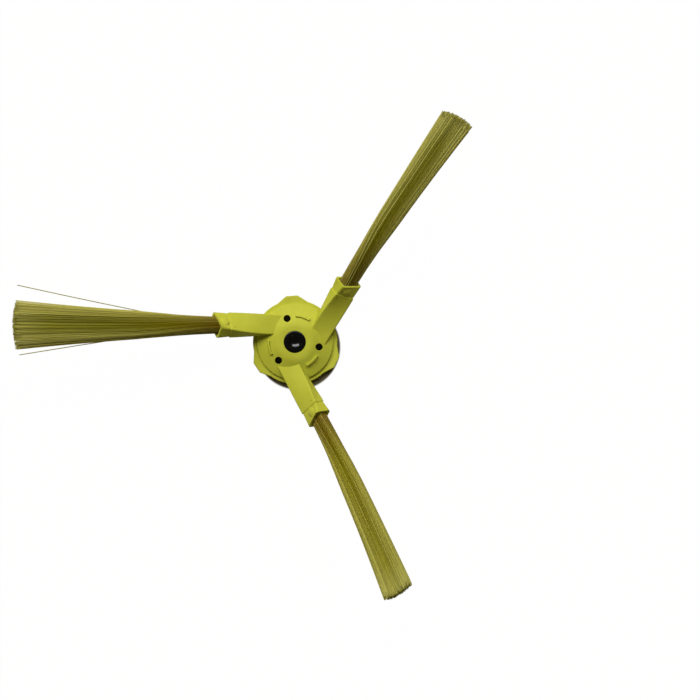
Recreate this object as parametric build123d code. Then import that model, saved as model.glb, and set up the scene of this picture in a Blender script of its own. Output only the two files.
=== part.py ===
from build123d import *
import os
from math import atan, cos, radians, sin, tan

os.makedirs("parts", exist_ok=True)

# Flange that seats against the machine, with one lobe beside each arm
FLANGE_RADIUS = 13.1
FLANGE_THICKNESS = 1.8
FLANGE_CHAMFER = 0.2
LOBE_REACH = 1.3
LOBE_TIP_WIDTH = 3.6
LOBE_FOOT_WIDTH = 9.4
LOBE_CORNER = 0.6
LOBE_LEAD = 33.5  # angle from an arm's heading to its lobe

# Dome that carries the arms, hollow underneath
DOME_RADIUS = 11.8
DOME_STEP = 0.8
DOME_RISE = 2.8
DOME_TOP_RADIUS = 5.5
DOME_SHOULDER_FILLET = 4.5
DOME_FOOT_FILLET = 0.1
DOME_WALL = 1.4
SKIRT_WALL = 0.8
TOWER_RADIUS = 5.6
RIB_THICKNESS = 1.1
RIB_RECESS = 0.6

# Small through holes in the dome
HOLE_RADIUS = 1.1
HOLE_CIRCLE_RADIUS = 7.65
HOLE_LEAD = 47.8  # angle from an arm's heading to its hole

# Short raised arcs on the dome, with sloping sides
LIP_INNER_RADIUS = 7.75
LIP_WIDTH = 0.85
LIP_HEIGHT = 0.6
LIP_DRAFT = 0.15
LIP_ARC = 32.0
LIP_LEAD = 11.7  # angle from an arm's heading to the middle of its lip

# Arms, which leave the hub off centre, curve upwards and twist on the way
ARM_COUNT = 3
FIRST_ARM_HEADING = 180.0
ARM_OFFSET = 5.4
ARM_ROOT_REACH = 3.0
ARM_MOUTH_REACH = 24.2
ARM_ROOT_RISE = 9.0  # slope where an arm leaves the hub
ARM_MOUTH_RISE = 20.0  # slope at its mouth, which the tuft keeps
ARM_TWIST = 50.0
TWIST_CURVE = 1.4  # above 1, most of the twist comes near the mouth
ARM_ROOT_WIDTH = 6.2
ARM_ROOT_THICKNESS = 2.2
ARM_END_WIDTH = 7.0
ARM_END_THICKNESS = 4.8
ARM_CORNER = 0.35
ARM_STATIONS = 5

# Collar and socket at the end of an arm
COLLAR_LENGTH = 4.1
COLLAR_STEP = 0.25  # how far the collar is set in behind the arm's shoulder
SHOULDER_RUN = 0.4  # length of the slope down from the shoulder
COLLAR_FLARE = 0.2  # how far its mouth stands out again
COLLAR_CORNER = 0.7  # rounding of its edges half way along
MOUTH_CORNER = 1.0  # and at the mouth
MOUTH_SLANT = 11.5  # lean of the mouth back over the arm
MOUTH_OVERRUN = 1.5  # how far the socket is cut on past the mouth
SOCKET_WIDTH = 5.8
SOCKET_THICKNESS = 3.7
SOCKET_TAPER = 0.3  # narrowing of each side down to the bottom
SOCKET_CORNER = 0.5
SOCKET_DEPTH = 5.5
BULGE_RADIUS = 1.55
BULGE_HEIGHT = 0.38
BULGE_SHIFT = 0.6  # from the middle of the collar's upper face towards its upper edge

# Drive bush pressed into the hub from below
BUSH_RADIUS = 3.4
BUSH_TOP_RECESS = 0.1
BUSH_TOP_FILLET = 0.25
BUSH_SHOULDER_RADIUS = 4.3
BUSH_SHOULDER_THICKNESS = 1.4
DISH_RADIUS = 2.2
DISH_DEPTH = 0.9
DRIVE_FLATS = 4.0
DRIVE_CORNER = 0.4
DRIVE_DEPTH = 3.0
BUSH_CLEARANCE = 0.04

# Bristle tufts, gathered in locks that leave a fused plug and fan out
TUFT_CLEARANCE = 0.06
PLUG_RECESS = 1.2
TUFT_REACHES = (82.8, 82.2, 80.4)
TUFT_TIP_WIDTHS = (17.4, 11.8, 11.0)
TUFT_TIP_DEPTH = 5.4
TUFT_SETS = (0.2, 4.7, 5.4)  # sideways set of each tuft at its tip
SET_CURVE = 1.4
FLARE = 0.4  # share of the fan's spread that comes late, towards the tip
LOCK_ROWS = 6
LOCK_COLUMNS = 10
LOCK_ROOT_SIZE = 0.36
LOCK_TIP_SIZE = 0.62
LOCK_ANCHOR = 0.3  # how deep a lock starts inside its plug
LOCK_INSET = 0.25  # from the socket's wall to the outermost locks
LOCK_RAGGED = 2.4
RAGGED_STEPS = 7  # different lengths of lock, dealt out over rows and columns
RAGGED_ROW_SKIP = 3
RAGGED_COLUMN_SKIP = 5

DOME_FOOT_HEIGHT = FLANGE_THICKNESS + DOME_STEP
HUB_HEIGHT = DOME_FOOT_HEIGHT + DOME_RISE
DOME_SLOPE = DOME_RISE / (DOME_RADIUS - DOME_TOP_RADIUS)
BUNDLE_WIDTH = SOCKET_WIDTH - 2 * LOCK_INSET
BUNDLE_THICKNESS = SOCKET_THICKNESS - 2 * LOCK_INSET
BOTTOM = (Align.CENTER, Align.CENTER, Align.MIN)
HEADINGS = [FIRST_ARM_HEADING - index * 360 / ARM_COUNT for index in range(ARM_COUNT)]


def dome_height(radius):
    return DOME_FOOT_HEIGHT + (DOME_RADIUS - radius) * DOME_SLOPE


def turned(profile_points, arc=360.0, start=0.0):
    """Solid turned about Z from a closed outline of (radius, height) points."""
    outline = Plane.XZ * make_face(Polyline(*profile_points, close=True))
    return Rot(0, 0, start) * revolve(outline, Axis.Z, revolution_arc=arc)


def around_arms(shape, lead=0.0):
    """One copy of a shape for each arm, turned on from the arm's heading."""
    return [Rot(0, 0, heading + lead) * shape for heading in HEADINGS]


def make_flange():
    foot = (FLANGE_RADIUS**2 - LOBE_FOOT_WIDTH**2 / 4) ** 0.5
    tip = FLANGE_RADIUS + LOBE_REACH
    lobe = Polygon(
        (0, -LOBE_FOOT_WIDTH / 2),
        (foot, -LOBE_FOOT_WIDTH / 2),
        (tip, -LOBE_TIP_WIDTH / 2),
        (tip, LOBE_TIP_WIDTH / 2),
        (foot, LOBE_FOOT_WIDTH / 2),
        (0, LOBE_FOOT_WIDTH / 2),
        align=None,
    )
    lobe = fillet(lobe.vertices().sort_by(Axis.X)[-2:], LOBE_CORNER)
    outline = Circle(FLANGE_RADIUS) + around_arms(lobe, LOBE_LEAD)
    flange = extrude(outline, FLANGE_THICKNESS)
    return chamfer(flange.faces().sort_by(Axis.Z)[-1].edges(), FLANGE_CHAMFER)


def make_dome():
    outline = make_face(
        Polyline(
            (0, 0),
            (DOME_RADIUS, 0),
            (DOME_RADIUS, DOME_FOOT_HEIGHT),
            (DOME_TOP_RADIUS, HUB_HEIGHT),
            (0, HUB_HEIGHT),
            close=True,
        )
    )
    corners = outline.vertices()
    shoulder = corners.sort_by_distance((DOME_TOP_RADIUS, HUB_HEIGHT))[0]
    outline = fillet(shoulder, DOME_SHOULDER_FILLET)
    foot = outline.vertices().sort_by_distance((DOME_RADIUS, DOME_FOOT_HEIGHT))[0]
    outline = fillet(foot, DOME_FOOT_FILLET)
    return revolve(Plane.XZ * outline, Axis.Z)


def make_underside_hollow():
    """Space under the dome, between the central tower and the skirt, less its ribs."""
    skirt_inner = DOME_RADIUS - SKIRT_WALL
    drop = DOME_WALL * (1 + DOME_SLOPE**2) ** 0.5
    hollow = turned(
        [
            (TOWER_RADIUS, 0),
            (skirt_inner, 0),
            (skirt_inner, dome_height(skirt_inner) - drop),
            (TOWER_RADIUS, dome_height(TOWER_RADIUS) - drop),
        ]
    )
    rib = Pos(0, 0, RIB_RECESS) * Box(
        DOME_RADIUS, RIB_THICKNESS, HUB_HEIGHT, align=(Align.MIN, Align.CENTER, Align.MIN)
    )
    return hollow - around_arms(rib, LOBE_LEAD)


def make_lip():
    """Raised arc that follows the slope of the dome."""
    outer = LIP_INNER_RADIUS + LIP_WIDTH
    top_inner = LIP_INNER_RADIUS + LIP_DRAFT
    top_outer = outer - LIP_DRAFT
    return turned(
        [
            (LIP_INNER_RADIUS, dome_height(outer)),
            (LIP_INNER_RADIUS, dome_height(LIP_INNER_RADIUS)),
            (top_inner, dome_height(top_inner) + LIP_HEIGHT),
            (top_outer, dome_height(top_outer) + LIP_HEIGHT),
            (outer, dome_height(outer)),
        ],
        LIP_ARC,
        -LIP_ARC / 2,
    )


def arm_share(reach):
    return min((reach - ARM_ROOT_REACH) / (ARM_MOUTH_REACH - ARM_ROOT_REACH), 1)


def arm_axes(reach):
    """Centre and directions of an arm that heads along +X, and beyond its mouth of the tuft."""
    root_slope = tan(radians(ARM_ROOT_RISE))
    mouth_slope = tan(radians(ARM_MOUTH_RISE))
    slope = root_slope + (mouth_slope - root_slope) * arm_share(reach)
    curved_run = min(reach, ARM_MOUTH_REACH) - ARM_ROOT_REACH
    straight_run = max(reach - ARM_MOUTH_REACH, 0)
    height = DOME_FOOT_HEIGHT + curved_run * (root_slope + slope) / 2 + straight_run * mouth_slope
    rise = atan(slope)
    along = Vector(cos(rise), 0, sin(rise))
    left = Vector(0, 1, 0)
    upward = Vector(-sin(rise), 0, cos(rise))
    return Vector(reach, -ARM_OFFSET, height), along, left, upward


def arm_twist(reach):
    return radians(ARM_TWIST) * arm_share(reach) ** TWIST_CURVE


def arm_plane(reach, slant=0.0):
    """Section plane of an arm, square to it or leaning back, with X across and Y out of its upper face."""
    centre, along, left, upward = arm_axes(reach)
    twist = arm_twist(reach)
    lean = radians(slant)
    normal = along * cos(lean) + upward * sin(lean)
    upward = upward * cos(lean) - along * sin(lean)
    return Plane(origin=centre, x_dir=left * cos(twist) + upward * sin(twist), z_dir=normal)


def arm_thickness(reach):
    return ARM_ROOT_THICKNESS + (ARM_END_THICKNESS - ARM_ROOT_THICKNESS) * arm_share(reach)


def arm_section(reach, proud=0.0, corner=ARM_CORNER, slant=0.0):
    width = ARM_ROOT_WIDTH + (ARM_END_WIDTH - ARM_ROOT_WIDTH) * arm_share(reach)
    outline = RectangleRounded(width + 2 * proud, arm_thickness(reach) + 2 * proud, corner)
    return arm_plane(reach, slant) * outline


def socket_section(depth, clearance=0.0):
    inset = clearance + SOCKET_TAPER * depth / SOCKET_DEPTH
    return arm_plane(ARM_MOUTH_REACH - depth) * RectangleRounded(
        SOCKET_WIDTH - 2 * inset, SOCKET_THICKNESS - 2 * inset, SOCKET_CORNER - clearance
    )


def make_arm():
    """Beam up to the shoulder, then the collar: set in, bulged, rounding off and flaring to the mouth."""
    shoulder = ARM_MOUTH_REACH - COLLAR_LENGTH
    waist = ARM_MOUTH_REACH - COLLAR_LENGTH / 2
    pitch = (shoulder - ARM_ROOT_REACH) / (ARM_STATIONS - 1)
    beam = loft([arm_section(ARM_ROOT_REACH + index * pitch) for index in range(ARM_STATIONS)])
    slope = loft([arm_section(shoulder), arm_section(shoulder + SHOULDER_RUN, -COLLAR_STEP)], ruled=True)
    collar = loft(
        [
            arm_section(shoulder - COLLAR_STEP, -COLLAR_STEP),
            arm_section(waist, 0, COLLAR_CORNER),
            arm_section(ARM_MOUTH_REACH, COLLAR_FLARE, MOUTH_CORNER, MOUTH_SLANT),
        ]
    )
    face_height = arm_thickness(waist) / 2
    ball_radius = (BULGE_RADIUS**2 + BULGE_HEIGHT**2) / (2 * BULGE_HEIGHT)
    ball = Pos(0, 0, BULGE_HEIGHT - ball_radius) * Sphere(ball_radius)
    bulge = ball & Cylinder(BULGE_RADIUS, 2 * BULGE_HEIGHT)
    bulge = arm_plane(waist) * Pos(BULGE_SHIFT, face_height, 0) * Rot(-90, 0, 0) * bulge
    return beam + slope + collar + bulge


def make_socket():
    depths = (SOCKET_DEPTH, SOCKET_DEPTH / 2, 0, -MOUTH_OVERRUN)
    return loft([socket_section(depth) for depth in depths], ruled=True)


def make_hub():
    hub = make_flange() + make_dome() + around_arms(make_arm())
    hub += around_arms(make_lip(), LIP_LEAD)
    hub -= make_underside_hollow()
    hole = Pos(HOLE_CIRCLE_RADIUS, 0, 0) * Cylinder(HOLE_RADIUS, HUB_HEIGHT, align=BOTTOM)
    hub -= around_arms(hole, HOLE_LEAD)
    hub -= Cylinder(BUSH_RADIUS + BUSH_CLEARANCE, HUB_HEIGHT, align=BOTTOM)
    hub -= Cylinder(BUSH_SHOULDER_RADIUS + BUSH_CLEARANCE, BUSH_SHOULDER_THICKNESS, align=BOTTOM)
    return hub - around_arms(make_socket())


def make_bush():
    top = HUB_HEIGHT - BUSH_TOP_RECESS
    bush = turned(
        [
            (0, 0),
            (BUSH_SHOULDER_RADIUS, 0),
            (BUSH_SHOULDER_RADIUS, BUSH_SHOULDER_THICKNESS),
            (BUSH_RADIUS, BUSH_SHOULDER_THICKNESS),
            (BUSH_RADIUS, top),
            (0, top),
        ]
    )
    bush = fillet(bush.edges().sort_by(Axis.Z)[-1], BUSH_TOP_FILLET)
    ball_radius = (DISH_RADIUS**2 + DISH_DEPTH**2) / (2 * DISH_DEPTH)
    bush -= Pos(0, 0, top - DISH_DEPTH + ball_radius) * Sphere(ball_radius)
    drive = RectangleRounded(DRIVE_FLATS, DRIVE_FLATS, DRIVE_CORNER)
    return bush - extrude(drive, DRIVE_DEPTH)


def tuft_point(across, out, share, tip_reach, tip_width, tip_set):
    """Point of a tuft at a share of its free length, from its place in the plug's face."""
    root_reach = ARM_MOUTH_REACH - PLUG_RECESS
    twist = arm_twist(root_reach)
    root_width = BUNDLE_WIDTH * cos(twist) + BUNDLE_THICKNESS * sin(twist)
    root_depth = BUNDLE_WIDTH * sin(twist) + BUNDLE_THICKNESS * cos(twist)
    spread = share * (1 - FLARE) + FLARE * share * abs(share)
    sideways = across * cos(twist) - out * sin(twist)
    lift = across * sin(twist) + out * cos(twist)
    sideways *= 1 + (tip_width / root_width - 1) * spread
    lift *= 1 + (TUFT_TIP_DEPTH / root_depth - 1) * spread
    sideways -= tip_set * max(share, 0) ** SET_CURVE
    centre, _, left, upward = arm_axes(root_reach + (tip_reach - root_reach) * share)
    return centre + left * sideways + upward * lift


def make_lock(across, out, end_share, tip_reach, tip_width, tip_set):
    """One lock of bristles: a slim four-sided rod through its root, middle and tip."""
    plug_face = arm_plane(ARM_MOUTH_REACH - PLUG_RECESS)
    rings = []
    for share in (-LOCK_ANCHOR / (tip_reach - ARM_MOUTH_REACH), end_share / 2, end_share):
        centre = tuft_point(across, out, share, tip_reach, tip_width, tip_set)
        half = (LOCK_ROOT_SIZE + (LOCK_TIP_SIZE - LOCK_ROOT_SIZE) * max(share, 0)) / 2
        span = plug_face.x_dir * half
        rise = plug_face.y_dir * half
        low, high = centre - rise, centre + rise
        rings.append([low - span, low + span, high + span, high - span])
    faces = [Face(Wire.make_polygon(rings[0])), Face(Wire.make_polygon(rings[-1]))]
    for lower, upper in zip(rings, rings[1:]):
        for corner, (near, far) in enumerate(zip(lower, upper)):
            sides = [lower[corner - 1], near, far, upper[corner - 1]]
            faces.append(Face(Wire.make_polygon(sides)))
    return Solid(Shell(faces))


def make_tuft(tip_reach, tip_width, tip_set):
    plug = loft(
        [
            socket_section(SOCKET_DEPTH, TUFT_CLEARANCE),
            socket_section(PLUG_RECESS, TUFT_CLEARANCE),
        ]
    )
    column_pitch = (BUNDLE_WIDTH - LOCK_ROOT_SIZE) / (LOCK_COLUMNS - 1)
    row_pitch = (BUNDLE_THICKNESS - LOCK_ROOT_SIZE) / (LOCK_ROWS - 1)
    ragged_share = LOCK_RAGGED / (tip_reach - ARM_MOUTH_REACH)
    locks = []
    for row in range(LOCK_ROWS):
        out = (row - (LOCK_ROWS - 1) / 2) * row_pitch
        columns = LOCK_COLUMNS - row % 2
        for column in range(columns):
            across = (column - (columns - 1) / 2) * column_pitch
            step = (RAGGED_ROW_SKIP * row + RAGGED_COLUMN_SKIP * column) % RAGGED_STEPS
            end_share = 1 - ragged_share * step / (RAGGED_STEPS - 1)
            locks.append(make_lock(across, out, end_share, tip_reach, tip_width, tip_set))
    return plug + locks


export_step(make_hub(), "parts/hub_moulding.step")
export_step(make_bush(), "parts/drive_bush.step")
for index, heading in enumerate(HEADINGS):
    kind = index % len(TUFT_SETS)
    tuft = make_tuft(TUFT_REACHES[kind], TUFT_TIP_WIDTHS[kind], TUFT_SETS[kind])
    export_step(Rot(0, 0, heading) * tuft, f"parts/bristle_tuft_{index + 1}.step")
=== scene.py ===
import math
import bpy
from mathutils import Matrix, Vector


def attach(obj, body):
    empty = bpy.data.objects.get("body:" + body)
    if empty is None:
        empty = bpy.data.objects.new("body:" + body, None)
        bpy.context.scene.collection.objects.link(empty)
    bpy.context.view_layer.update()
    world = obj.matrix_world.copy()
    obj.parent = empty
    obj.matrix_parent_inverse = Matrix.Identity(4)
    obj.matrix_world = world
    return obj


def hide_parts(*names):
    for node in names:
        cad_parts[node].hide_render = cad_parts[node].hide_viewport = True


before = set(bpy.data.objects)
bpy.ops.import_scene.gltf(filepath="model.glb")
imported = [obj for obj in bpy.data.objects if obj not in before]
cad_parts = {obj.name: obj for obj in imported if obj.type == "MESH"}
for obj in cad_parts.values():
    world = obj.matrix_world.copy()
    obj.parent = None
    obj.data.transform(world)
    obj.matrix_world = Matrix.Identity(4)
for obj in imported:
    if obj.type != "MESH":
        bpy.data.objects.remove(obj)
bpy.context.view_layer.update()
mm = 0.001
print("frame loaded:", ", ".join(sorted(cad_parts)))


# small helpers for node trees

def putNode(tree, kind, inputs=None, **settings):
    node = tree.nodes.new(kind)
    for name, value in settings.items():
        setattr(node, name, value)
    for name, value in (inputs or {}).items():
        feed(tree, next(s for s in node.inputs if s.enabled and s.name == name), value)
    return node


def feed(tree, socket, value):
    if isinstance(value, bpy.types.NodeSocket):
        tree.links.new(value, socket)
    else:
        socket.default_value = value


def calculator(tree):
    def calc(operation, *values):
        node = tree.nodes.new("ShaderNodeMath")
        node.operation = operation
        for socket, value in zip(node.inputs, values):
            feed(tree, socket, value)
        return node.outputs[0]
    return calc


def between(calc, share, low, high):
    return calc("MULTIPLY_ADD", share, high - low, low)


def ranged(tree, value, spanFrom, spanTo=(0.0, 1.0), **settings):
    return putNode(tree, "ShaderNodeMapRange", {
        "Value": value, "From Min": spanFrom[0], "From Max": spanFrom[1],
        "To Min": spanTo[0], "To Max": spanTo[1]}, **settings).outputs[0]


def mixed(tree, kind, factor, first, second):
    node = putNode(tree, "ShaderNodeMix", data_type=kind)
    for name, value in (("Factor", factor), ("A", first), ("B", second)):
        feed(tree, node.inputs[name], value)
    return node.outputs["Result"]


def newMaterial(name):
    material = bpy.data.materials.new(name)
    material.use_nodes = True
    material.node_tree.nodes.clear()
    return material, material.node_tree


def noiseAt(tree, size, detail):
    place = putNode(tree, "ShaderNodeTexCoord").outputs["Object"]
    noise = putNode(tree, "ShaderNodeTexNoise", {"Vector": place, "Scale": 1 / size, "Detail": detail})
    return noise.outputs["Fac"]


def colourRamp(tree, factor, stops):
    ramp = putNode(tree, "ShaderNodeValToRGB", {"Fac": factor})
    ends = ramp.color_ramp.elements
    while len(ends) < len(stops):
        ends.new(0.5)
    for end, (place, colour) in zip(ends, stops):
        end.position = place
        end.color = (*colour, 1)
    return ramp.outputs["Color"]


def mixedShader(tree, share, first, second):
    node = putNode(tree, "ShaderNodeMixShader", {"Fac": share})
    tree.links.new(first, node.inputs[1])
    tree.links.new(second, node.inputs[2])
    return node.outputs["Shader"]


def finishSurface(tree, shader):
    out = putNode(tree, "ShaderNodeOutputMaterial")
    tree.links.new(shader, out.inputs["Surface"])


# lime moulding: satin, faintly mottled, with the fine grain of the mould
lime = dict(
    deep=(0.53, 0.535, 0.042),
    deepAt=0.35,
    pale=(0.60, 0.605, 0.058),
    paleAt=0.65,
    mottleSize=9 * mm,
    mottleDetail=4.0,
    grainSize=0.16 * mm,
    grainDetail=2.0,
    grainDepth=0.012 * mm,
    edge=0.25 * mm,
    edgeSamples=6,
    roughLow=0.5,
    roughHigh=0.62,
    sheen=0.08,
)


def limePlastic():
    material, tree = newMaterial("limePlastic")
    calc = calculator(tree)
    mottle = noiseAt(tree, lime["mottleSize"], lime["mottleDetail"])
    grain = noiseAt(tree, lime["grainSize"], lime["grainDetail"])
    stops = [(lime[tint + "At"], lime[tint]) for tint in ("deep", "pale")]
    softened = putNode(tree, "ShaderNodeBevel", {"Radius": lime["edge"]}, samples=lime["edgeSamples"])
    bump = putNode(tree, "ShaderNodeBump", {
        "Height": grain, "Distance": lime["grainDepth"], "Normal": softened.outputs["Normal"]})
    shader = putNode(tree, "ShaderNodeBsdfPrincipled", {
        "Base Color": colourRamp(tree, mottle, stops),
        "Roughness": between(calc, mottle, lime["roughLow"], lime["roughHigh"]),
        "Specular IOR Level": lime["sheen"], "Normal": bump.outputs["Normal"]})
    finishSurface(tree, shader.outputs["BSDF"])
    return material


# black bush: glossy, with faint rub marks round the dish
black = dict(
    colour=(0.0012, 0.0012, 0.0014),
    rubSize=0.5 * mm,
    rubDetail=3.0,
    roughLow=0.15,
    roughHigh=0.19,
    sheen=0.6,
)


def blackPlastic():
    material, tree = newMaterial("blackPlastic")
    calc = calculator(tree)
    rub = noiseAt(tree, black["rubSize"], black["rubDetail"])
    shader = putNode(tree, "ShaderNodeBsdfPrincipled", {
        "Base Color": (*black["colour"], 1),
        "Roughness": between(calc, rub, black["roughLow"], black["roughHigh"]),
        "Specular IOR Level": black["sheen"]})
    finishSurface(tree, shader.outputs["BSDF"])
    return material


# bristle nylon: translucent olive, browner at the root, paler at the tip; painted backlight makes the sides
# of the fan paler, painted shade darkens the core and the cut ends, and a few strands carry a painted glint
nylon = dict(
    root=(0.30, 0.185, 0.003),
    rootAt=0.04,
    middle=(0.47, 0.405, 0.006),
    middleAt=0.28,
    late=(0.62, 0.58, 0.060),
    lateAt=0.84,
    tip=(0.88, 0.85, 0.23),
    tipAt=1.0,
    # painted backlight: the sides of the fan turn paler towards the tip, where light would shine through
    # the thin edges
    fringe=(0.98, 0.94, 0.34),
    backlightShare=0.85,
    backlightStart=0.3,
    glintColour=(1.0, 0.98, 0.26),
    glintFrom=0.93,  # filaments with a tone above this are pale strands, a painted glint
    glintFull=0.95,
    # painted shade at the cut ends of the filaments
    endShadeFrom=0.988,
    paintedEndShade=0.55,
    toneSpread=0.42,
    through=0.45,
    throughTint=(0.82, 0.76, 0.05),
    roughness=0.42,
    sheen=0.05,
)


def bristleNylon():
    material, tree = newMaterial("bristleNylon")
    calc = calculator(tree)

    def stored(name):
        return putNode(tree, "ShaderNodeAttribute", attribute_name=name).outputs["Fac"]

    reach = stored("reach")
    tone = stored("tone")
    stops = [(nylon[part + "At"], nylon[part]) for part in ("root", "middle", "late", "tip")]
    # painted backlight on the sides of the fan, growing towards the tip
    growing = between(calc, calc("SQRT", reach), nylon["backlightStart"], 1.0)
    paler = calc("MULTIPLY", calc("MULTIPLY", stored("backlitEdge"), nylon["backlightShare"]), growing)
    backlitColour = mixed(tree, "RGBA", paler, colourRamp(tree, reach, stops), (*nylon["fringe"], 1))
    brightness = calc("MULTIPLY_ADD", tone, nylon["toneSpread"], 1 - nylon["toneSpread"] / 2)
    # painted shade in the core of the fan
    brightness = calc("MULTIPLY", brightness, stored("shade"))
    # painted shade darkens each filament at its cut end
    cut = ranged(tree, stored("along"), (nylon["endShadeFrom"], 1.0), (1.0, nylon["paintedEndShade"]))
    toned = putNode(tree, "ShaderNodeVectorMath", operation="SCALE")
    feed(tree, toned.inputs[0], backlitColour)
    feed(tree, toned.inputs["Scale"], calc("MULTIPLY", brightness, cut))
    # painted glint: a few strands made pale along their whole length
    pale = ranged(tree, tone, (nylon["glintFrom"], nylon["glintFull"]))
    solid = putNode(tree, "ShaderNodeBsdfPrincipled", {
        "Base Color": mixed(tree, "RGBA", pale, toned.outputs[0], (*nylon["glintColour"], 1)),
        "Roughness": nylon["roughness"], "Specular IOR Level": nylon["sheen"]})
    through = putNode(tree, "ShaderNodeBsdfTranslucent", {"Color": (*nylon["throughTint"], 1)})
    both = mixedShader(tree, nylon["through"], solid.outputs["BSDF"], through.outputs["BSDF"])
    finishSurface(tree, both)
    return material


# bristle tufts: the fan of filaments that each arm's socket holds
arm = dict(
    headings=(180, 60, -60),
    offset=5.4 * mm,
    rootReach=3.0 * mm,
    rootHeight=2.6 * mm,
    mouthReach=24.2 * mm,
    rootRise=math.radians(9),
    mouthRise=math.radians(20),
    twist=math.radians(50),
    twistCurve=1.4,
)
tuft = dict(
    filaments=1000,
    strides=(0.75488, 0.56984),  # steps from root to root that fill the section evenly
    scatter=0.04,
    steps=12,
    sides=4,
    radius=0.076 * mm,
    strayRadius=1.75,  # times the radius, as are the radii of the painted glint strands below
    glintRadii=(1.3, 1.9, 1.0),
    plugRecess=1.2 * mm,
    plugLength=4.3 * mm,
    bundleWidth=5.45 * mm,
    bundleThickness=3.35 * mm,
    bundleCorner=0.18,
    calmFrom=0.3875,  # filaments rooted beyond this share bend less, down to calmEdge
    calmEdge=0.1,
    tipTwist=math.radians(8),
    tiltUntil=0.06,
    flatFrom=0.45,
    tipReaches=(82.7 * mm, 82.15 * mm, 80.6 * mm),
    tipWidths=(17.6 * mm, 11.7 * mm, 11.0 * mm),
    tipDepth=4.7 * mm,
    tipRound=0.013,
    fringe=0.45,
    fringeCurve=4.0,
    sets=(0.2 * mm, 4.7 * mm, 5.4 * mm),
    setCurve=1.4,
    flare=0.4,
    ragged=0.03,
    raggedCurve=2.5,
    bows=(0.5 * mm, 0.9 * mm, 0.35 * mm),
    bowCurve=1.8,
    wander=0.7 * mm,
    wanderCurve=8.0,
    wave=0.12 * mm,
    waveTurns=(3.0, 7.0),
    upShare=0.4,  # filaments bend less up and down than sideways
    easeIn=3.0,  # waves and strays are full after a third of the free length
    strays=((12.5 * mm, 8.9 * mm), (0.0, 0.0), (0.0, 0.0)),
    strayCurve=1.1,
    strayTone=-0.5,
    # painted shade: each fan's core darker, where light is lost deep in the bundle
    paintedCoreShade=(0.42, 0.22, 0.06),
    coreCurve=2.0,
    coreFade=0.4,
    # painted backlight on the sides of each fan
    paintedBacklightEdge=(1.0, 1.0, 0.6),
    edgeCurve=1.2,
    seeds=(3, 8, 15),
)
salts = dict(across=5, out=6, ragged=11, sideways=21, upwards=31, tone=41)


def fanInputs(tree):
    kinds = dict(
        Int=("Filaments", "Steps", "Sides", "Seed"),
        Float=(
            "Scatter", "Radius", "Stray Radius", "Glint Radius", "Glint From", "Bundle Width",
            "Bundle Thickness", "Bundle Corner", "Twist", "Tip Twist", "Flat From", "Plug Length",
            "Free Length", "Tip Width", "Tip Depth", "Tip Round", "Fringe", "Set", "Set Curve", "Flare",
            "Ragged", "Bow", "Wander", "Wave", "Stray Right", "Stray Left", "Stray Tone", "Painted Core Shade",
            "Painted Backlight Edge"),
        Vector=("Place", "Turn"),
        Material=("Material",),
    )
    sockets = {}
    for kind, names in kinds.items():
        for name in names:
            item = tree.interface.new_socket(name=name, in_out="INPUT", socket_type="NodeSocket" + kind)
            sockets[name] = item.identifier
    tree.interface.new_socket(name="Geometry", in_out="OUTPUT", socket_type="NodeSocketGeometry")
    return sockets


# one straight filament, repeated
def strandLines(tree, given):
    line = putNode(tree, "GeometryNodeCurvePrimitiveLine", {"End": (1, 0, 0)})
    stepped = putNode(tree, "GeometryNodeResampleCurve", {
        "Curve": line.outputs[0], "Count": given["Steps"]})
    many = putNode(tree, "GeometryNodeDuplicateElements", {
        "Geometry": stepped.outputs[0], "Amount": given["Filaments"]}, domain="SPLINE")
    return many.outputs["Geometry"], many.outputs["Duplicate Index"]


def dice(tree, calc, given, number):
    def chance(low, high, salt):
        node = putNode(tree, "FunctionNodeRandomValue", {
            "Min": low, "Max": high, "ID": number, "Seed": calc("ADD", given["Seed"], salt)})
        return next(s for s in node.outputs if s.enabled)
    return chance


# roots: spread evenly over the bundle's section, its corners drawn in, and calmer towards its edge
def rootPlaces(tree, calc, given, number, chance):
    def spreadRoots(stride, salt):
        slot = calc("MULTIPLY_ADD", number, stride, chance(0.0, given["Scatter"], salt))
        return calc("SUBTRACT", calc("FRACT", slot), 0.5)

    across = spreadRoots(tuft["strides"][0], salts["across"])
    out = spreadRoots(tuft["strides"][1], salts["out"])
    corner = calc("MULTIPLY", calc("MULTIPLY", across, 2.0), calc("MULTIPLY", out, 2.0))
    corner = calc("MULTIPLY", corner, corner)
    drawnIn = calc("SUBTRACT", 1.0, calc("MULTIPLY", corner, given["Bundle Corner"]))
    farthest = calc("MAXIMUM", calc("ABSOLUTE", across), calc("ABSOLUTE", out))
    calm = ranged(tree, farthest, (tuft["calmFrom"], 0.5), (1.0, tuft["calmEdge"]))
    across = calc("MULTIPLY", calc("MULTIPLY", across, drawnIn), given["Bundle Width"])
    out = calc("MULTIPLY", calc("MULTIPLY", out, drawnIn), given["Bundle Thickness"])
    return across, out, calm


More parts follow.
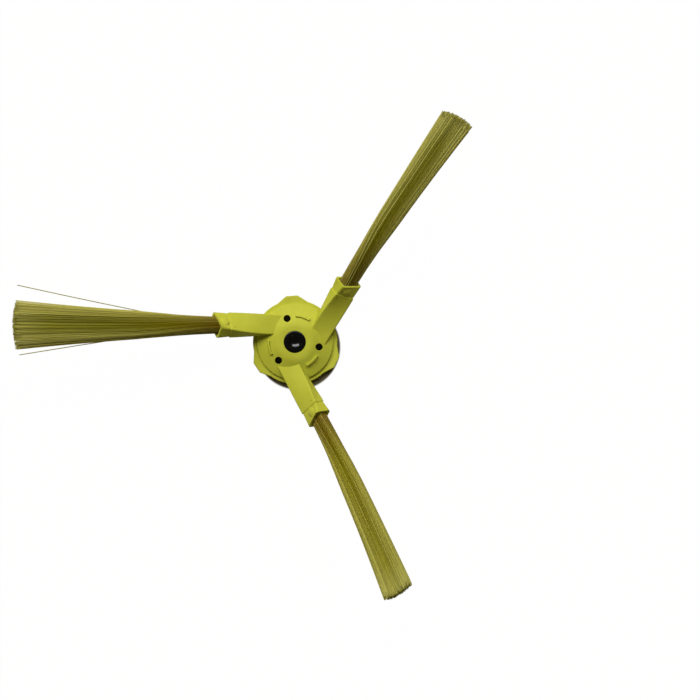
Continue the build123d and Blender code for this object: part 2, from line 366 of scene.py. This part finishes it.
# the section leaves the socket at the arm's tilt and settles flat further out
def settledSection(tree, calc, given, factor, across, out):
    def extents(angle):
        cosine = calc("COSINE", angle)
        sine = calc("SINE", angle)
        wide = calc("ADD", calc("MULTIPLY", given["Bundle Width"], cosine),
                    calc("MULTIPLY", given["Bundle Thickness"], sine))
        deep = calc("ADD", calc("MULTIPLY", given["Bundle Width"], sine),
                    calc("MULTIPLY", given["Bundle Thickness"], cosine))
        return cosine, sine, wide, deep

    tilt = ranged(tree, factor, (tuft["tiltUntil"], given["Flat From"]),
                  (given["Twist"], given["Tip Twist"]), interpolation_type="SMOOTHSTEP")
    cosine, sine, wide, deep = extents(tilt)
    rootWidth, rootDepth = extents(given["Twist"])[2:]
    side = calc("SUBTRACT", calc("MULTIPLY", across, cosine), calc("MULTIPLY", out, sine))
    lift = calc("ADD", calc("MULTIPLY", across, sine), calc("MULTIPLY", out, cosine))
    side = calc("MULTIPLY", side, calc("DIVIDE", rootWidth, wide))
    lift = calc("MULTIPLY", lift, calc("DIVIDE", rootDepth, deep))
    return side, lift, rootWidth, rootDepth


# share of the free length, negative inside the plug
def lengthShare(calc, given, factor, chance, outwards):
    buried = calc("DIVIDE", given["Plug Length"], given["Free Length"])
    shortest = calc("POWER", chance(0.0, 1.0, salts["ragged"]), tuft["raggedCurve"])
    shorter = calc("MULTIPLY", given["Ragged"], shortest)
    rounded = calc("MULTIPLY", given["Tip Round"], calc("MULTIPLY", outwards, outwards))
    end = calc("SUBTRACT", calc("SUBTRACT", 1.0, shorter), rounded)
    return calc("SUBTRACT", calc("MULTIPLY", factor, calc("ADD", end, buried)), buried)


# each filament's own bow, with a few that wander further, and a slight wave
def ownBend(calc, given, chance, free, eased, calm, salt):
    pull = chance(-1.0, 1.0, salt)
    far = calc("MULTIPLY", pull, calc("POWER", calc("ABSOLUTE", pull), tuft["wanderCurve"]))
    wild = calc("MULTIPLY", given["Wander"], far)
    bowed = calc("MULTIPLY_ADD", pull, given["Bow"], wild)
    bowed = calc("MULTIPLY", bowed, calc("POWER", free, tuft["bowCurve"]))
    turn = calc("MULTIPLY_ADD", free, chance(*tuft["waveTurns"], salt + 1), chance(0.0, math.tau, salt + 2))
    grown = calc("MULTIPLY", given["Wave"], eased)
    return calc("MULTIPLY", calc("MULTIPLY_ADD", calc("SINE", turn), grown, bowed), calm)


# the fused root, set back in the socket
def fusedRoot(tree, calc, given):
    size = putNode(tree, "ShaderNodeCombineXYZ", {
        "X": given["Plug Length"], "Y": given["Bundle Width"], "Z": given["Bundle Thickness"]})
    block = putNode(tree, "GeometryNodeMeshCube", {"Size": size.outputs[0]})
    back = putNode(tree, "ShaderNodeCombineXYZ", {"X": calc("MULTIPLY", given["Plug Length"], -0.5)})
    roll = putNode(tree, "ShaderNodeCombineXYZ", {"X": given["Twist"]})
    plug = putNode(tree, "GeometryNodeTransform", {
        "Geometry": block.outputs["Mesh"], "Translation": back.outputs[0], "Rotation": roll.outputs[0]})
    return plug.outputs[0]


def bristleFan():
    tree = bpy.data.node_groups.new("bristleFan", "GeometryNodeTree")
    calc = calculator(tree)
    sockets = fanInputs(tree)
    given = putNode(tree, "NodeGroupInput").outputs
    strands, number = strandLines(tree, given)
    factor = putNode(tree, "GeometryNodeSplineParameter").outputs["Factor"]
    chance = dice(tree, calc, given, number)
    across, out, calm = rootPlaces(tree, calc, given, number, chance)
    side, lift, rootWidth, rootDepth = settledSection(tree, calc, given, factor, across, out)
    outwards = calc("DIVIDE", calc("MULTIPLY", side, 2.0), rootWidth)
    share = lengthShare(calc, given, factor, chance, outwards)
    free = calc("MAXIMUM", share, 0.0)
    eased = calc("MINIMUM", calc("MULTIPLY", free, tuft["easeIn"]), 1.0)

    # the outermost filaments take the full spread and stand sparser
    spread = calc("ADD", calc("MULTIPLY", free, calc("SUBTRACT", 1.0, given["Flare"])),
                  calc("MULTIPLY", given["Flare"], calc("MULTIPLY", free, free)))
    inside = calc("SUBTRACT", calc("POWER", calc("ABSOLUTE", outwards), tuft["fringeCurve"]), 1.0)
    fanned = calc("MULTIPLY", spread, calc("ADD", calc("MULTIPLY", given["Fringe"], inside), 1.0))

    def widened(offset, tip, root, amount):
        growth = calc("SUBTRACT", calc("DIVIDE", tip, root), 1.0)
        return calc("MULTIPLY", offset, calc("MULTIPLY_ADD", growth, amount, 1.0))

    sideBend = ownBend(calc, given, chance, free, eased, calm, salts["sideways"])
    upBend = ownBend(calc, given, chance, free, eased, calm, salts["upwards"])
    lean = calc("MULTIPLY", given["Set"], calc("POWER", free, given["Set Curve"]))
    x = calc("MULTIPLY", share, given["Free Length"])
    y = calc("ADD", widened(side, given["Tip Width"], rootWidth, fanned), sideBend)
    y = calc("SUBTRACT", y, lean)
    z = widened(lift, given["Tip Depth"], rootDepth, spread)
    z = calc("ADD", z, calc("MULTIPLY", upBend, tuft["upShare"]))

    # the first two filaments may stray to either side
    def isNumber(wanted):
        return calc("COMPARE", number, wanted, 0.1)

    strayTip = calc("SUBTRACT", calc("MULTIPLY", isNumber(1.0), given["Stray Left"]),
                    calc("MULTIPLY", isNumber(0.0), given["Stray Right"]))
    strays = calc("GREATER_THAN", calc("ABSOLUTE", strayTip), 0.0)
    strayPath = calc("MULTIPLY", strayTip, calc("POWER", free, tuft["strayCurve"]))
    y = mixed(tree, "FLOAT", calc("MULTIPLY", strays, eased), y, strayPath)

    # what the nylon reads along each filament
    ownTone = chance(0.0, 1.0, salts["tone"])
    tone = mixed(tree, "FLOAT", strays, ownTone, given["Stray Tone"])
    # how much painted backlight each filament gets, more towards the sides of the fan
    backlitEdge = calc("POWER", calc("ABSOLUTE", outwards), tuft["edgeCurve"])
    backlitEdge = calc("MULTIPLY", backlitEdge, given["Painted Backlight Edge"])
    # painted shade in the fan's core, fading towards the tip
    inner = calc("SUBTRACT", 1.0, calc("MULTIPLY", outwards, outwards))
    inner = calc("POWER", inner, tuft["coreCurve"])
    fading = calc("MULTIPLY_ADD", free, -tuft["coreFade"], 1.0)
    shade = calc("MULTIPLY", given["Painted Core Shade"], calc("MULTIPLY", inner, fading))
    shade = calc("SUBTRACT", 1.0, shade)
    spot = putNode(tree, "ShaderNodeCombineXYZ", {"X": x, "Y": y, "Z": z})
    strands = putNode(tree, "GeometryNodeSetPosition", {
        "Geometry": strands, "Position": spot.outputs[0]}).outputs[0]
    for name, value in (
            ("reach", free), ("along", factor), ("backlitEdge", backlitEdge), ("shade", shade), ("tone", tone)):
        strands = putNode(tree, "GeometryNodeStoreNamedAttribute", {
            "Geometry": strands, "Name": name, "Value": value}).outputs[0]

    # filaments with their thickness, joined to the fused root and set in the arm's socket
    # strands with a painted glint are drawn thicker
    glinting = calc("GREATER_THAN", ownTone, given["Glint From"])
    thick = calc("MULTIPLY_ADD", glinting, calc("SUBTRACT", given["Glint Radius"], 1.0), 1.0)
    thick = mixed(tree, "FLOAT", strays, thick, given["Stray Radius"])
    ring = putNode(tree, "GeometryNodeCurvePrimitiveCircle", {
        "Resolution": given["Sides"], "Radius": given["Radius"]})
    swept = putNode(tree, "GeometryNodeCurveToMesh", {
        "Curve": strands, "Profile Curve": ring.outputs["Curve"], "Scale": thick, "Fill Caps": True})
    smooth = putNode(tree, "GeometryNodeSetShadeSmooth", {"Geometry": swept.outputs[0]})
    joined = putNode(tree, "GeometryNodeJoinGeometry")
    tree.links.new(smooth.outputs[0], joined.inputs[0])
    tree.links.new(fusedRoot(tree, calc, given), joined.inputs[0])
    seated = putNode(tree, "GeometryNodeTransform", {
        "Geometry": joined.outputs[0], "Translation": given["Place"], "Rotation": given["Turn"]})
    plain = putNode(tree, "GeometryNodeRealizeInstances", {"Geometry": seated.outputs[0]})
    dressed = putNode(tree, "GeometryNodeSetMaterial", {
        "Geometry": plain.outputs[0], "Material": given["Material"]})
    putNode(tree, "NodeGroupOutput", {"Geometry": dressed.outputs[0]})
    return tree, sockets


def meshFromNodes(name, tree, sockets, values):
    carrier = bpy.data.objects.new(name + "Carrier", bpy.data.meshes.new(name + "Carrier"))
    bpy.context.collection.objects.link(carrier)
    modifier = carrier.modifiers.new("nodes", "NODES")
    modifier.node_group = tree
    for label, value in values.items():
        modifier[sockets[label]] = value
    depsgraph = bpy.context.evaluated_depsgraph_get()
    mesh = bpy.data.meshes.new_from_object(carrier.evaluated_get(depsgraph))
    mesh.name = name
    carrier.modifiers.remove(modifier)
    bpy.data.objects.remove(carrier)
    piece = bpy.data.objects.new(name, mesh)
    bpy.context.collection.objects.link(piece)
    return piece


def makeTuft(index, tree, sockets, material):
    heading = math.radians(arm["headings"][index])
    faceReach = arm["mouthReach"] - tuft["plugRecess"]
    armRun = arm["mouthReach"] - arm["rootReach"]
    mouthSlope = math.tan(arm["mouthRise"])
    mouthHeight = arm["rootHeight"] + armRun * (math.tan(arm["rootRise"]) + mouthSlope) / 2
    seat = Vector((faceReach, -arm["offset"], mouthHeight - tuft["plugRecess"] * mouthSlope))
    seat = Matrix.Rotation(heading, 3, "Z") @ seat
    strayRight, strayLeft = tuft["strays"][index]
    values = {
        "Filaments": tuft["filaments"], "Scatter": tuft["scatter"], "Steps": tuft["steps"],
        "Sides": tuft["sides"], "Radius": tuft["radius"], "Stray Radius": tuft["strayRadius"],
        "Glint Radius": tuft["glintRadii"][index], "Glint From": nylon["glintFrom"],
        "Bundle Width": tuft["bundleWidth"], "Bundle Thickness": tuft["bundleThickness"],
        "Bundle Corner": tuft["bundleCorner"],
        "Twist": arm["twist"] * ((faceReach - arm["rootReach"]) / armRun) ** arm["twistCurve"],
        "Tip Twist": tuft["tipTwist"], "Flat From": tuft["flatFrom"], "Plug Length": tuft["plugLength"],
        "Free Length": (tuft["tipReaches"][index] - faceReach) / math.cos(arm["mouthRise"]),
        "Tip Width": tuft["tipWidths"][index], "Tip Depth": tuft["tipDepth"],
        "Tip Round": tuft["tipRound"], "Fringe": tuft["fringe"], "Set": tuft["sets"][index],
        "Set Curve": tuft["setCurve"], "Flare": tuft["flare"], "Ragged": tuft["ragged"],
        "Bow": tuft["bows"][index], "Wander": tuft["wander"], "Wave": tuft["wave"],
        "Stray Right": strayRight, "Stray Left": strayLeft, "Stray Tone": tuft["strayTone"],
        "Painted Core Shade": tuft["paintedCoreShade"][index], "Painted Backlight Edge": tuft["paintedBacklightEdge"][index],
        "Place": seat[:], "Turn": (0.0, -arm["mouthRise"], heading),
        "Seed": tuft["seeds"][index], "Material": material}
    piece = meshFromNodes("bristleFan%d" % (index + 1), tree, sockets, values)
    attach(piece, "root")
    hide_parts("bristle_tuft_%d" % (index + 1))
    print("tuft", index + 1, "faces", len(piece.data.polygons))


# finishes on the moulded pieces
def dressNode(name, material):
    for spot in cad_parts[name].material_slots:
        spot.material = material


# studio: pale floor with a painted shadow round the hub, soft key from the top left, dim fill, camera
# straight above
studio = dict(
    floorHalf=1.5,
    floorColour=(0.70, 0.65, 0.44),
    paintedShadowColour=(0.17, 0.145, 0.09),  # painted shadow: the floor as it is seen, darker than the paper, where it isn't lifted to white
    floorLift=0.95,
    floorWhite=1.045,
    # the disc round the hub where the painted shadow shows, set off towards where the hub's shadow falls
    liftCentre=(0.75 * mm, -1.6 * mm, 0),
    liftFrom=12.95 * mm,
    liftTo=13.55 * mm,
    keyFrom=math.radians(107),
    keyHeight=math.radians(49),
    keyDistance=1.1,
    keyWidth=1.6,
    keyDepth=0.5,
    keyPower=14.6,
    fill=(0.06, 0.057, 0.045),
)
view = dict(
    distance=0.6,
    width=217 * mm,
    level=3 * mm,
    hubRight=-17.05 * mm,
    hubUp=2.48 * mm,
    roll=math.radians(-0.5),
    sensor=36.0,
)


def paleFloor():
    material, tree = newMaterial("paleFloor")
    calc = calculator(tree)
    path = putNode(tree, "ShaderNodeLightPath").outputs
    seen = calc("MAXIMUM", path["Is Glossy Ray"], path["Is Transmission Ray"])
    seen = calc("MAXIMUM", path["Is Camera Ray"], seen)
    # rays that see the floor get the painted shadow colour, which the lift hides outside the disc round the
    # hub
    tint = mixed(tree, "RGBA", seen, (*studio["floorColour"], 1), (*studio["paintedShadowColour"], 1))
    paper = putNode(tree, "ShaderNodeBsdfDiffuse", {"Color": tint})
    away = putNode(tree, "ShaderNodeVectorMath", operation="DISTANCE")
    feed(tree, away.inputs[0], putNode(tree, "ShaderNodeTexCoord").outputs["Object"])
    feed(tree, away.inputs[1], studio["liftCentre"])
    clear = ranged(tree, away.outputs["Value"], (studio["liftFrom"], studio["liftTo"]),
                   interpolation_type="SMOOTHSTEP")
    share = calc("MULTIPLY", calc("MULTIPLY", seen, clear), studio["floorLift"])
    lift = putNode(tree, "ShaderNodeEmission", {"Color": (1, 1, 1, 1), "Strength": studio["floorWhite"]})
    finishSurface(tree, mixedShader(tree, share, paper.outputs[0], lift.outputs[0]))
    return material


def makeFloor():
    half = studio["floorHalf"]
    corners = [(-half, -half, 0), (half, -half, 0), (half, half, 0), (-half, half, 0)]
    mesh = bpy.data.meshes.new("floor")
    mesh.from_pydata(corners, [], [(0, 1, 2, 3)])
    mesh.materials.append(paleFloor())
    floor = bpy.data.objects.new("floor", mesh)
    bpy.context.collection.objects.link(floor)


def makeLight():
    lamp = bpy.data.lights.new("key", "AREA")
    lamp.shape = "RECTANGLE"
    lamp.size = studio["keyWidth"]
    lamp.size_y = studio["keyDepth"]
    lamp.energy = studio["keyPower"]
    key = bpy.data.objects.new("key", lamp)
    bpy.context.collection.objects.link(key)
    flat = math.cos(studio["keyHeight"])
    around = studio["keyFrom"]
    away = Vector((flat * math.cos(around), flat * math.sin(around), math.sin(studio["keyHeight"])))
    key.location = away * studio["keyDistance"]
    level = (Vector((1, 0, 0)) - away * away.x).normalized()  # keeps the lamp's long side level
    key.rotation_euler = Matrix((level, away.cross(level), away)).transposed().to_euler()
    world = bpy.data.worlds.new("studio")
    world.use_nodes = True
    world.node_tree.nodes["Background"].inputs["Color"].default_value = (*studio["fill"], 1)
    bpy.context.scene.world = world


def makeCamera():
    data = bpy.data.cameras.new("above")
    data.sensor_width = view["sensor"]
    data.lens = view["sensor"] * (view["distance"] - view["level"]) / view["width"]
    camera = bpy.data.objects.new("above", data)
    bpy.context.collection.objects.link(camera)
    turn = Matrix.Rotation(view["roll"], 3, "Z")
    aim = turn @ Vector((-view["hubRight"], -view["hubUp"], 0))
    camera.location = (aim.x, aim.y, view["distance"])
    camera.rotation_euler = (0, 0, view["roll"])
    bpy.context.scene.camera = camera


bpy.context.scene.view_settings.view_transform = "Standard"
dressNode("hub_moulding", limePlastic())
dressNode("drive_bush", blackPlastic())
print("moulding and bush dressed")
fanTree, fanSockets = bristleFan()
nylonMaterial = bristleNylon()
for tuftIndex in range(len(arm["headings"])):
    makeTuft(tuftIndex, fanTree, fanSockets, nylonMaterial)
makeFloor()
makeLight()
makeCamera()
print("studio ready")
